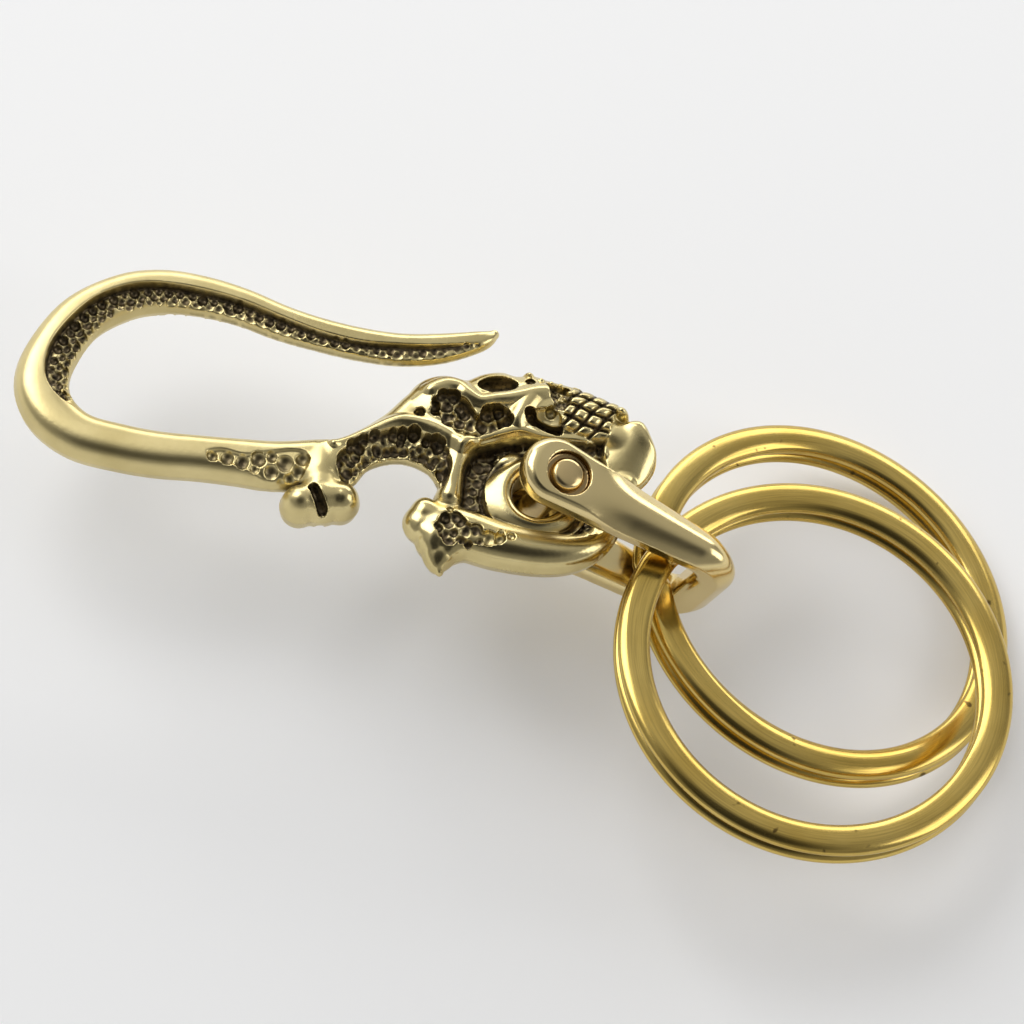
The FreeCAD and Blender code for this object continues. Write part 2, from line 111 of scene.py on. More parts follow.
# Small cast lumps along the nose and the gums, which all have the same turn.
NOSE_LUMPS = [
    (33.8, -0.85, 0.7, 0.5, 2.2), (34.75, -1.45, 0.7, 0.5, 2.3), (35.6, -1.75, 0.7, 0.5, 2.25),
    (36.35, -2.05, 0.62, 0.55, 2.4), (37.1, -2.75, 0.6, 0.5, 2.35), (36.6, -3.35, 0.5, 0.4, 2.3),
    (41.4, -4.65, 0.95, 0.72, 2.9),
]
NOSE_TURN_DEG = -25.0

# Outlines of the plates.
CHIN = [
    (40.5, -5.8), (41.8, -5.1), (43.0, -5.0), (43.75, -5.55), (44.2, -6.8), (44.5, -8.2), (44.1, -9.6),
    (43.0, -10.9), (41.6, -11.6), (40.3, -11.2), (39.8, -9.8), (39.6, -8.2), (39.8, -6.8),
]
ARCH = [
    (15.2, -7.2), (17.7, -6.2), (20.9, -4.2), (24.0, -1.7), (27.3, -3.0), (27.8, -8.0), (26.6, -11.6),
    (25.6, -11.2), (24.6, -9.4), (22.3, -8.4), (19.7, -9.0), (18.2, -10.6), (16.4, -11.2),
]
SKULL = [
    (24.2, -1.4), (26.3, -0.5), (28.0, -0.8), (29.8, -0.1), (31.5, 0.1), (32.8, -0.3), (34.1, -0.2),
    (35.8, -0.8), (38.0, -1.5), (40.2, -2.5), (42.0, -3.6), (41.8, -5.5), (39.5, -7.7), (36.0, -7.8),
    (33.0, -7.5), (30.0, -8.2), (27.3, -8.7), (25.0, -7.2), (23.3, -5.2), (22.9, -3.0),
]
WEB = [
    (26.8, -9.0), (30.0, -6.6), (36.0, -5.8), (41.4, -6.7), (41.0, -12.9), (38.0, -16.4), (32.0, -16.2),
    (27.0, -13.2),
]

# The chin's top is rounded across a slanting line, which starts at a point and runs down to the jaw.
CHIN_START = (43.0, -5.6)
CHIN_WAY = (-0.563, -0.826)
CHIN_SHIFT = 0.35
CHIN_HALF_WIDTH = 2.95
CHIN_TOP = 2.65
CHIN_FALL = 0.33
CHIN_LEVEL_LENGTH = 0.6
CHIN_LEAST_ROUNDING = 0.05
CHIN_BEVEL = 0.5

# Pivot eye: its centre, its bore with a rounded lip, and the bell round it with a point on its left.
EYE = (33.7425, -12.1825)
BORE = 2.2
BORE_STEEPNESS = 4
LIP = 0.8
BELL_TOP = 2.0
BELL_FALL = 0.75
BELL_REACH = 3.85
POINT_REACH = 0.95
POINT_DEG = 186

# Raised bands on the skull and the arch: height, and rows of x, y and half-width.
BROW = (0.45, [
    (24.9, -2.5, 0.9), (26.4, -1.9, 0.9), (27.6, -2.1, 0.9), (28.2, -2.9, 0.9), (29.15, -3.75, 0.8),
    (30.55, -3.6, 0.75), (32.1, -3.4, 0.85), (33.65, -3.0, 1.0), (34.9, -2.6, 1.05),
])
CHEEK_BONE = (0.42, [(33.6, -3.2, 1.2), (32.75, -4.6, 0.95), (32.35, -5.7, 0.9), (32.6, -6.8, 1.0)])
CHEEK_RIDGE = (0.5, [
    (27.4, -7.9, 0.9), (29.05, -7.5, 0.8), (30.9, -6.95, 0.8), (32.55, -6.6, 0.8), (34.2, -7.1, 0.75),
    (35.9, -7.4, 0.8), (37.9, -7.6, 0.8), (39.4, -8.1, 0.8),
])
ARCH_RIM = (0.4, [
    (16.5, -7.6, 0.6), (19.0, -6.5, 0.7), (21.6, -5.5, 0.75), (23.7, -5.6, 0.8), (25.4, -6.4, 0.8),
    (27.2, -7.7, 0.9),
])

# Outlines of what is carved.
ARCH_RECESS = [
    (16.8, -8.5), (19.0, -7.1), (21.6, -6.15), (23.6, -6.3), (25.3, -7.2), (26.2, -8.3), (26.5, -9.7),
    (26.0, -11.2), (25.4, -11.5), (24.4, -9.75), (22.8, -9.0), (21.3, -8.95), (19.7, -9.5), (18.2, -10.6),
    (17.2, -11.0), (16.7, -10.2),
]
TEMPLE = [
    (24.95, -4.2), (25.5, -3.2), (26.35, -2.8), (27.1, -3.15), (28.0, -3.65), (28.6, -4.45), (28.95, -5.05),
    (29.5, -4.45), (30.5, -4.1), (31.45, -4.35), (31.75, -4.95), (31.3, -6.05), (30.3, -6.7), (28.8, -7.1),
    (27.6, -6.7), (26.4, -6.1), (25.5, -5.3),
]
CHEEK = [
    (33.0, -5.2), (33.55, -4.65), (34.7, -4.4), (35.6, -4.6), (36.1, -5.2), (36.1, -6.1), (35.7, -6.65),
    (34.6, -6.25), (33.4, -5.95),
]
NOSE = [
    (35.3, -1.7), (36.5, -1.8), (37.25, -3.0), (36.9, -4.3), (36.15, -4.8), (35.5, -3.9), (35.2, -2.75),
]
JAW_POCKET = [
    (24.95, -14.6), (25.9, -13.9), (26.6, -14.3), (27.9, -15.3), (29.1, -16.0), (30.3, -16.45),
    (30.6, -16.9), (29.7, -17.25), (28.2, -17.1), (25.5, -16.6), (24.85, -16.1),
]
# Leaf-shaped patch on the shank.
SHANK_PATCH = [
    (5.7, -8.1), (7.1, -7.9), (8.9, -8.4), (11.0, -8.1), (13.0, -7.9), (14.25, -8.35), (14.3, -9.65),
    (13.3, -10.7), (12.4, -11.3), (11.35, -11.4), (10.5, -10.8), (9.4, -10.1), (7.8, -9.5), (6.4, -9.1),
    (5.7, -8.75),
]
# Pockets: outline, depth, radius of the burr, and the seed of its marks.
POCKETS = [
    (ARCH_RECESS, 1.35, 0.5, 11), (TEMPLE, 1.35, 0.62, 5), (JAW_POCKET, 0.85, 0.55, 23),
    (NOSE, 0.75, 0.34, 41),
]
# A pocket's even floor: its share of the depth, and the width of its slope.
FLOOR_SHARE = 0.72
FLOOR_SLOPE = 0.28
# Burr marks of the low ground behind the shackle: radius, depth and seed, and the share of the depth that is
# cut. They start away from the eye, whose bell also keeps less patina.
WEB_BURR = (0.6, 0.7, 17)
WEB_BURR_SHARE = 0.7
WEB_BURR_FROM_EYE = 4.6
BELL_PATINA_REACH = 3.95
BELL_PATINA = 0.25

# Lines of the dark slot in the cheek and of the groove down the knuckle, and the eye socket.
CHEEK_SLOT = [(33.4, -5.0), (34.0, -5.55), (35.0, -6.1), (35.75, -6.4)]
KNUCKLE_GROOVE = [(14.5, -11.9), (14.95, -13.0), (15.25, -13.65)]
SOCKET = (30.9, -2.0)
SOCKET_HALF = (1.75, 1.0)
SOCKET_DEPTH = 2.0
# Depths of the hollow of the cheek and of the shank's patch, and the widths of their slopes.
CHEEK_DEPTH = 0.8
CHEEK_SLOPE = 0.85
PATCH_DEPTH = 0.28
PATCH_SLOPE = 0.3

# Single burr marks: x, y, radius and depth.
SHANK_MARKS = [
    (6.15, -8.65, 0.44, 0.38), (7.4, -8.8, 0.58, 0.45), (8.65, -9.15, 0.6, 0.45), (10.05, -8.95, 0.66, 0.5),
    (11.2, -8.75, 0.5, 0.4), (11.1, -10.0, 0.6, 0.5), (12.3, -9.3, 0.8, 0.55), (13.75, -9.0, 0.58, 0.45),
    (13.3, -10.0, 0.55, 0.45), (12.6, -10.5, 0.42, 0.4), (9.7, -9.7, 0.42, 0.35),
    (11.9, -10.9, 0.36, 0.35),
]
SHANK_MARK_WIDENING = 1.15
SHANK_MARK_DEEPENING = 0.2
LONE_MARKS = [
    (23.95, -4.75, 0.46, 0.7), (26.1, -13.75, 0.3, 0.4), (31.1, -16.55, 0.36, 0.35),
    (30.2, -16.2, 0.3, 0.3), (33.75, -1.7, 0.42, 0.7),
]
CHEEK_MARKS = [(33.55, -4.95, 0.5, 1.4), (35.3, -4.75, 0.5, 1.1)]

# Honeycomb of burr marks: spacing for a radius, pitch of the rows for a spacing, least distance inside the
# outline, and how far place, radius and depth stray.
MARK_SPACING = 1.5
MARK_ROW_PITCH = 0.87
MARK_INSET = 0.15
MARK_STRAY = 0.25
MARK_RADIUS_SPREAD = 0.25
MARK_DEPTH_SPREAD = 0.2

# Channel along the arm: x, y and half-width. Its rows of burr marks: place across it, radius and depth.
CHANNEL = [
    (30.6, 2.8, 0.3), (26.2, 1.8, 0.85), (22.8, 1.7, 0.95), (19.3, 2.05, 0.85), (15.9, 2.9, 0.9),
    (12.6, 4.15, 1.05), (9.2, 5.7, 1.05), (5.9, 6.7, 1.1), (2.4, 7.4, 1.0), (-0.15, 7.1, 1.1),
    (-2.6, 6.05, 1.1), (-4.6, 4.1, 1.2), (-6.2, 1.8, 1.2), (-6.8, -0.6, 1.05), (-6.4, -2.4, 0.6),
    (-5.3, -3.6, 0.3),
]
CHANNEL_MARKS = [(-0.35, 0.46, 1.3), (0.12, 0.52, 1.15), (0.58, 0.46, 0.85)]
CHANNEL_SEED = 7
# Along the channel: where the first row starts, how far each next row is set back, how far before the
# channel's end all rows stop, and the pitch.
CHANNEL_START = 1.0
CHANNEL_STAGGER = 0.45
CHANNEL_END = 0.8
CHANNEL_PITCH = 0.98
# How far a mark strays along the channel and across it, and how much its size varies.
CHANNEL_STRAY_ALONG = 0.16
CHANNEL_STRAY_ACROSS = 0.08
CHANNEL_SIZES = (0.85, 1.1)

# Rows of teeth: centre and turn of the grid, its extent, its pitches and its slant.
TEETH = (38.45, -5.35)
TEETH_TURN_DEG = -21.0
TEETH_HALF_LENGTH = 2.2
TEETH_DEPTH = 1.75
TOOTH_LENGTH = 1.28
TOOTH_HEIGHT = 1.18
TEETH_SLANT = 0.45
PAD_HEIGHT = 0.7
GROUND_SINK = 0.5

# Least half-thickness that a cut leaves, and the radius over which the uncarved body is softened.
SKIN = 0.35
BODY_SOFTNESS = 0.1
# Added to the square of a slope, so that distances stay finite where the relief is level.
LEVEL_STEEPNESS = 0.05


def smooth_rows(rows, steps=6, closed=False):
    """Rows of numbers joined by a smooth curve through every row."""
    rows = np.array(rows, float)
    count = len(rows)
    pick = (lambda i: rows[i % count]) if closed else (lambda i: rows[min(max(i, 0), count - 1)])
    out = []
    for i in range(count if closed else count - 1):
        a, b, c, d = pick(i - 1), pick(i), pick(i + 1), pick(i + 2)
        for t in np.arange(steps) / steps:
            out.append(b + 0.5 * t * (c - a + t * (2 * a - 5 * b + 4 * c - d + t * (3 * (b - c) + d - a))))
    if not closed:
        out.append(rows[-1])
    return np.array(out)


def window(low, high, reach):
    """Slices of the plan that hold a box and a margin round it."""
    i0, i1 = np.searchsorted(x_axis, (low[0] - reach, high[0] + reach))
    j0, j1 = np.searchsorted(y_axis, (low[1] - reach, high[1] + reach))
    return slice(i0, i1), slice(j0, j1)


def nearest(rows, reach=4.0):
    """For each point of the plan: its distance from a path, its side, and the rows' other columns there."""
    best = np.full(X.shape, FAR)
    side = np.zeros(X.shape)
    extra = [np.ones(X.shape) for _ in range(rows.shape[1] - 2)]
    for a, b in zip(rows[:-1], rows[1:]):
        step = b[:2] - a[:2]
        size = float(np.hypot(*step)) or TINY
        cut = window(np.minimum(a, b)[:2], np.maximum(a, b)[:2], reach)
        px, py = X[cut] - a[0], Y[cut] - a[1]
        t = np.clip((px * step[0] + py * step[1]) / size ** 2, 0, 1)
        distance = np.hypot(px - t * step[0], py - t * step[1])
        closer = distance < best[cut]
        best[cut] = np.where(closer, distance, best[cut])
        side[cut] = np.where(closer, np.sign(step[0] * py - step[1] * px), side[cut])
        for k, field in enumerate(extra):
            field[cut] = np.where(closer, a[2 + k] + t * (b[2 + k] - a[2 + k]), field[cut])
    return best, side, extra


def line_distance(rows, reach=1.2):
    """Distance of each point of the plan from a smooth line."""
    return nearest(smooth_rows(rows), reach)[0]


def inside_distance(outline):
    """Distance inside a smooth closed outline, negative outside it."""
    points = smooth_rows(outline, closed=True)
    loop = np.vstack([points, points[:1]])
    distance = nearest(loop, reach=5.0)[0]
    inside = np.zeros(X.shape, bool)
    for a, b in zip(loop[:-1], loop[1:]):
        spans = (a[1] > Y) != (b[1] > Y)
        rise = b[1] - a[1] if b[1] != a[1] else TINY
        inside ^= spans & (X < a[0] + (Y - a[1]) * (b[0] - a[0]) / rise)
    return np.where(inside, distance, -distance)


def turned(x, y, turn_deg):
    """Coordinates of the plan along and across a turned direction, from a point."""
    turn = math.radians(turn_deg)
    along = (X - x) * math.cos(turn) + (Y - y) * math.sin(turn)
    across = (Y - y) * math.cos(turn) - (X - x) * math.sin(turn)
    return along, across


def ease(value, low, high):
    """Smooth step from 0 to 1."""
    t = np.clip((value - low) / (high - low), 0, 1)
    return t * t * (3 - 2 * t)


def blur(field, radius):
    """Mean of a field over a square, twice, for a soft falloff."""
    cells = max(1, round(radius / CELL))
    for _ in range(2):
        for axis in (0, 1):
            pad = [(0, 0), (0, 0)]
            pad[axis] = (cells + 1, cells)
            total = np.cumsum(np.pad(field, pad, mode="edge"), axis=axis)
            size = field.shape[axis]
            high = np.take(total, np.arange(2 * cells + 1, 2 * cells + 1 + size), axis=axis)
            low = np.take(total, np.arange(size), axis=axis)
            field = (high - low) / (2 * cells + 1)
    return field


def signed_root(squared):
    """The signed height whose square is given."""
    return np.sign(squared) * np.sqrt(np.abs(squared))


def bone(rows, power=BONE_POWER):
    """Signed height of a tapered bone with an oval section."""
    distance, _, (width, height) = nearest(smooth_rows(rows))
    return signed_root(height ** 2 * (1 - (distance / width) ** power))


def plate(outline, height, edge):
    """Signed height of a plate whose edge is rounded over the given width."""
    share = np.minimum(inside_distance(outline) / edge, 1)
    return signed_root(height ** 2 * (1 - (1 - share) ** 2))


def egg(x, y, half_length, half_width, height, turn_deg=0.0):
    """Signed height of an ellipsoid lying in the middle plane."""
    along, across = turned(x, y, turn_deg)
    return signed_root(height ** 2 * (1 - (along / half_length) ** 2 - (across / half_width) ** 2))


def join(a, b, blend):
    """Union of two signed heights with a fillet about as wide as blend."""
    near = np.maximum(0, 1 - np.abs(a - b) / blend)
    return np.maximum(a, b) + blend * near ** 2 / 4


def swell(height, rows):
    """Added height along a broad raised band that fades out at its sides."""
    distance, _, (width,) = nearest(smooth_rows(rows), reach=3.0)
    return height * np.maximum(0, 1 - (distance / width) ** 2) ** 1.5


def round_cut(distance, half_width, depth):
    """Depth of a cut with an oval section along a line."""
    return depth * np.sqrt(np.maximum(0, 1 - (distance / half_width) ** 2))


def burr_marks(places):
    """Depth of the marks of a round burr: rows of x, y, radius and depth."""
    out = np.zeros(X.shape)
    for x, y, radius, depth in places:
        cut = window((x, y), (x, y), radius)
        far = (X[cut] - x) ** 2 + (Y[cut] - y) ** 2
        bowl = depth - radius + np.sqrt(np.maximum(0, radius ** 2 - far))
        out[cut] = np.maximum(out[cut], np.where(far < radius ** 2, np.maximum(bowl, 0), 0))
    return out


def scattered(inside, radius, depth, seed):
    """Burr marks over a pocket: the places of a jittered honeycomb that lie well inside it."""
    rng = np.random.default_rng(seed)
    spacing = MARK_SPACING * radius
    places = []
    for row, y in enumerate(np.arange(PLAN_LOW[1], PLAN_HIGH[1], spacing * MARK_ROW_PITCH)):
        for x in np.arange(PLAN_LOW[0] + (row % 2) * spacing / 2, PLAN_HIGH[0], spacing):
            shift = rng.uniform(-1, 1, 4)
            px, py = x + shift[0] * MARK_STRAY * spacing, y + shift[1] * MARK_STRAY * spacing
            i, j = np.searchsorted(x_axis, px), np.searchsorted(y_axis, py)
            if 0 < i < len(x_axis) and 0 < j < len(y_axis) and inside[i, j] > MARK_INSET:
                mark_radius = radius * (1 + MARK_RADIUS_SPREAD * shift[2])
                places.append((px, py, mark_radius, depth * (1 + MARK_DEPTH_SPREAD * shift[3])))
    return places


def pocket(outline, depth, radius, seed):
    """Depth of a carved pocket with a floor of burr marks and a scalloped edge."""
    inside = inside_distance(outline)
    floor = FLOOR_SHARE * depth * ease(inside, 0.0, FLOOR_SLOPE)
    return np.maximum(floor, burr_marks(scattered(inside, radius, depth, seed)))


def eye_distance():
    """Distance of each point of the plan from the axis of the pivot eye."""
    return np.hypot(X - EYE[0], Y - EYE[1])


def with_eye(height):
    """A height with the bell of the pivot eye added and its bore cut through."""
    away = eye_distance()
    heading = np.arctan2(Y - EYE[1], X - EYE[0])
    reach = BELL_REACH + POINT_REACH * np.maximum(0, np.cos(heading - math.radians(POINT_DEG))) ** 4
    mouth = BORE + LIP
    fall = np.clip((away - mouth) / (reach - mouth), 0, 1)
    bell = BELL_TOP - BELL_FALL * fall ** 1.5
    lip = BELL_TOP - LIP + np.sqrt(np.maximum(0, LIP ** 2 - np.maximum(mouth - away, 0) ** 2))
    bell = np.where(away < mouth, lip, bell)
    height = np.where(away < reach, np.maximum(np.where(away < mouth, 0, height), bell), height)
    return np.where(away < BORE, signed_root((away - BORE) * BORE_STEEPNESS), height)


def chin_block():
    """The chin: a block whose top is rounded across its slanting line and falls away along it."""
    off_x, off_y = X - CHIN_START[0], Y - CHIN_START[1]
    down = off_x * CHIN_WAY[0] + off_y * CHIN_WAY[1]
    across = off_y * CHIN_WAY[0] - off_x * CHIN_WAY[1] - CHIN_SHIFT
    round_over = np.sqrt(np.maximum(1 - (across / CHIN_HALF_WIDTH) ** 2, CHIN_LEAST_ROUNDING))
    roof = (CHIN_TOP - CHIN_FALL * np.maximum(down - CHIN_LEVEL_LENGTH, 0)) * round_over
    return -join(-plate(CHIN, height=2.75, edge=1.1), -roof, CHIN_BEVEL)


def body_height():
    """Signed height of the whole casting before it is carved."""
    arm = [(x, y, ARM_NARROWING * half_width, high) for x, y, half_width, high in ARM]
    height = bone(arm, ARM_POWER)
    # The other forms in the order in which they join, each with its fillet.
    forms = [
        (bone(NECK), 1.2),
        *((egg(*lobe), 1.1) for lobe in KNUCKLE_LOBES),
        (egg(*KNUCKLE_MIDDLE), 0.5),
        (plate(ARCH, height=2.35, edge=1.9), 0.9),
        (plate(SKULL, height=2.75, edge=3.0), 0.8),
        (egg(*SKULL_DOME), 0.8),
        (plate(WEB, height=0.85, edge=0.6), 0.3),
        (egg(*WEB_LUMP), 0.5),
        (egg(*GUM), 0.6),
        (chin_block(), 0.5),
        (bone(STRUT), 1.2),
        (bone(JAW), 0.6),
        *((egg(*lump), 1.1) for lump in JAW_END),
        (bone(SPIKE), 1.0),
    ]
    for form, fillet in forms:
        height = join(height, form, fillet)
    return with_eye(blur(height, BODY_SOFTNESS))


def raised_bands():
    """Added height of the brow, the cheek bone, the cheek ridge and the rims of the arch."""
    return np.maximum.reduce([swell(*band) for band in (BROW, CHEEK_BONE, CHEEK_RIDGE, ARCH_RIM)])


def arm_channel():
    """Depth of the channel along the arm: deepest by its outer wall, with rows of burr marks to its lip."""
    rows = smooth_rows(CHANNEL)
    distance, side, (width,) = nearest(rows, reach=3.0)
    across = side * distance / width
    full = ease(width, 0.25, 0.8)
    floor = (0.75 - 0.35 * across) * ease(across, -1.0, -0.7) * ease(0.6 - across, 0.0, 0.3) * full
    floor = np.where(distance < 1.3 * width, floor, 0)
    places = []
    rng = np.random.default_rng(CHANNEL_SEED)
    lengths = np.concatenate([[0], np.cumsum(np.hypot(*np.diff(rows[:, :2], axis=0).T))])
    for row, (offset, radius, depth) in enumerate(CHANNEL_MARKS):
        start = CHANNEL_START + CHANNEL_STAGGER * row
        for along in np.arange(start, lengths[-1] - CHANNEL_END, CHANNEL_PITCH):
            along = along + rng.uniform(-CHANNEL_STRAY_ALONG, CHANNEL_STRAY_ALONG)
            x, y, half = (np.interp(along, lengths, rows[:, k]) for k in range(3))
            i = min(max(int(np.searchsorted(lengths, along)), 1), len(rows) - 1)
            step = rows[i, :2] - rows[i - 1, :2]
            step = step / np.hypot(*step)
            out = offset * half + rng.uniform(-CHANNEL_STRAY_ACROSS, CHANNEL_STRAY_ACROSS)
            size = min(1, 0.3 + 0.65 * half) * rng.uniform(*CHANNEL_SIZES)
            places.append((x - step[1] * out, y + step[0] * out, radius * size, depth * size))
    return np.maximum(floor, burr_marks(places))


def teeth():
    """The ground and the pads of the rows of teeth: added height, and how deep a place is in a groove."""
    u, v = turned(*TEETH, TEETH_TURN_DEG)
    zone = ease(TEETH_HALF_LENGTH - np.abs(u), 0, 0.2) * ease(v + TEETH_DEPTH, 0, 0.2)
    # The rows are slanted and slightly wavy.
    u = u + 0.08 * np.sin(2.1 * v) - TEETH_SLANT * v
    v = v + 0.12 * np.sin(1.7 * u + 1)
    pad_u = 1 - np.abs(2 * ((u / TOOTH_LENGTH) % 1) - 1) ** 3
    pad_v = 1 - np.abs(2 * ((v / TOOTH_HEIGHT + 0.5) % 1) - 1) ** 3
    pad = np.sqrt(np.maximum(0, pad_u * pad_v))
    return zone * (PAD_HEIGHT * pad - GROUND_SINK), zone * ease(1 - pad, 0.14, 0.42)


def carving():
    """Depth of everything that is cut into the face, and how much of it keeps dark patina."""
    cheek, patch = inside_distance(CHEEK), inside_distance(SHANK_PATCH)
    slot = line_distance(CHEEK_SLOT)
    off_x, off_y = X - SOCKET[0], Y - SOCKET[1]
    socket = 1 - (off_x / SOCKET_HALF[0]) ** 2 - (off_y / SOCKET_HALF[1]) ** 2
    shank_marks = [
        (x, y, SHANK_MARK_WIDENING * radius, depth + SHANK_MARK_DEEPENING)
        for x, y, radius, depth in SHANK_MARKS
    ]
    depth = np.maximum.reduce([
        *(pocket(*row) for row in POCKETS),
        CHEEK_DEPTH * np.sqrt(np.clip(cheek / CHEEK_SLOPE, 0, 1)),
        round_cut(slot, half_width=0.5, depth=1.5),
        arm_channel(),
        PATCH_DEPTH * ease(patch, 0.0, PATCH_SLOPE),
        burr_marks(CHEEK_MARKS + shank_marks + LONE_MARKS),
        SOCKET_DEPTH * np.sqrt(np.maximum(0, socket)),
        round_cut(line_distance(KNUCKLE_GROOVE), half_width=0.45, depth=1.1),
    ])
    # Cuts that keep less patina: the polished right end of the jaw's pocket, the shank's patch, the nose and
    # the cheek, and the socket's near wall, which is lightened as painted light on the lit side of the
    # socket.
    polish_and_painted_light = np.maximum.reduce([
        ease(X, 28.2, 29.6) * (Y < -15),
        0.45 * ease(patch, -0.3, 0.0),
        0.2 * ease(inside_distance(NOSE), -0.4, 0.0),
        ease(cheek, -0.3, 0.0) * ease(slot, 0.3, 0.6) * ease(X, 33.5, 34.3),
        # Painted light: the socket's near wall, the side that faces the lamps, is painted lighter.
        0.8 * (socket > 0) * ease(-0.4 * off_x - off_y, -0.3, 0.8),
    ])
    return depth, 1 - 0.7 * polish_and_painted_light


def sculpt():
    """The carved height, the patina in the recesses and the wear on high places."""
    smooth = body_height()
    depth, keeps = carving()
    away = eye_distance()
    web = inside_distance(WEB)
    # The low ground between the skull, the jaw and the chin.
    cave = ease(web, -0.1, 0.3) * ease(1.9 - smooth, 0.15, 0.7)
    cave = cave * ease(inside_distance(CHIN), 0.3, -0.2)
    rough = WEB_BURR_SHARE * burr_marks(scattered(web, *WEB_BURR)) * cave
    rough = np.where(away < WEB_BURR_FROM_EYE, 0, rough)
    height = smooth + raised_bands() * np.maximum(0, 1 - 2 * depth) * (smooth > 0.8)
    # Cuts are shallower where the casting is thin.
    thick = np.clip((smooth - 0.55) / 1.15, 0.1, 1)
    height = height - np.minimum(np.maximum(depth * thick, rough), np.maximum(height - SKIN, 0))
    added, grooves = teeth()
    height = np.where(height > 1.0, height + added, height)
    for lump in NOSE_LUMPS:
        height = np.maximum(height, egg(*lump, NOSE_TURN_DEG))
    # Dark in hollows, bare on crests.
    fine = blur(height, 0.2) - height
    broad = blur(height, 0.8) - height
    crest = ease(-fine, -0.006, 0.024)
    patina = np.maximum.reduce([
        ease(depth, 0.18, 0.55) * keeps * (1 - 0.9 * crest),
        0.9 * ease(broad, 0.07, 0.4) * (1 - 0.8 * crest) * (0.4 + 0.6 * keeps),
        cave * np.where(away < BELL_PATINA_REACH, BELL_PATINA, 1) * (1 - 0.8 * crest),
        grooves,
    ])
    wear = ease(-broad, 0.0, 0.25) * (0.2 + 0.8 * ease(X, 8.0, 20.0))
    return height, blur(np.clip(patina, 0, 1), 0.06), wear


def new_mesh(name, points, faces):
    """A mesh of points in metres."""
    mesh = bpy.data.meshes.new(name)
    mesh.from_pydata(points, [], faces)
    mesh.validate()
    mesh.update()
    return mesh


def zero_surface(field, cell, band):
    """Points and faces where a field of distances is zero, from its first sample on, in millimetres."""
    limit = band * cell
    grid = openvdb.FloatGrid(limit)
    grid.copyFromArray(np.clip(field, -limit, limit).astype(np.float32))
    grid.transform = openvdb.createLinearTransform(cell)
    points, triangles, quads = grid.convertToPolygons(0.0, 0.0)
    return points, quads.tolist() + triangles.tolist()


def closed_mesh(name, height):
    """A closed mesh of the relief and its mirror image, and its points in millimetres."""
    squared = height * np.abs(height)
    slope = np.gradient(squared, CELL)
    steep = slope[0] ** 2 + slope[1] ** 2
    z_axis = np.arange(0, TOP, CELL)
    upper = np.stack(
        [(z * z - squared) / np.sqrt(4 * z * z + steep + LEVEL_STEEPNESS) for z in z_axis], axis=2)
    points, faces = zero_surface(np.concatenate([upper[:, :, :0:-1], upper], axis=2), CELL, band=3)
    points = points + np.array((PLAN_LOW[0], PLAN_LOW[1], -CELL * (len(z_axis) - 1)))
    return new_mesh(name, (points * MM).tolist(), faces), points


def sampled(field, points):
    """Values of a plan field at points, between its cells."""
    u = np.clip((points[:, 0] - PLAN_LOW[0]) / CELL, 0, field.shape[0] - 1.001)
    v = np.clip((points[:, 1] - PLAN_LOW[1]) / CELL, 0, field.shape[1] - 1.001)
    i, j = u.astype(int), v.astype(int)
    u, v = u - i, v - j
    low = field[i, j] * (1 - v) + field[i, j + 1] * v
    high = field[i + 1, j] * (1 - v) + field[i + 1, j + 1] * v
    return low * (1 - u) + high * u


def attribute(mesh, name, values):
    """A number for each vertex, which a material reads."""
    made = mesh.attributes.new(name, "FLOAT", "POINT")
    made.data.foreach_set("value", np.asarray(values, np.float32))


def joint_named(name):
    """A joint of the record."""
    return next(joint for joint in record["behaviour"]["joints"] if joint["name"] == name)


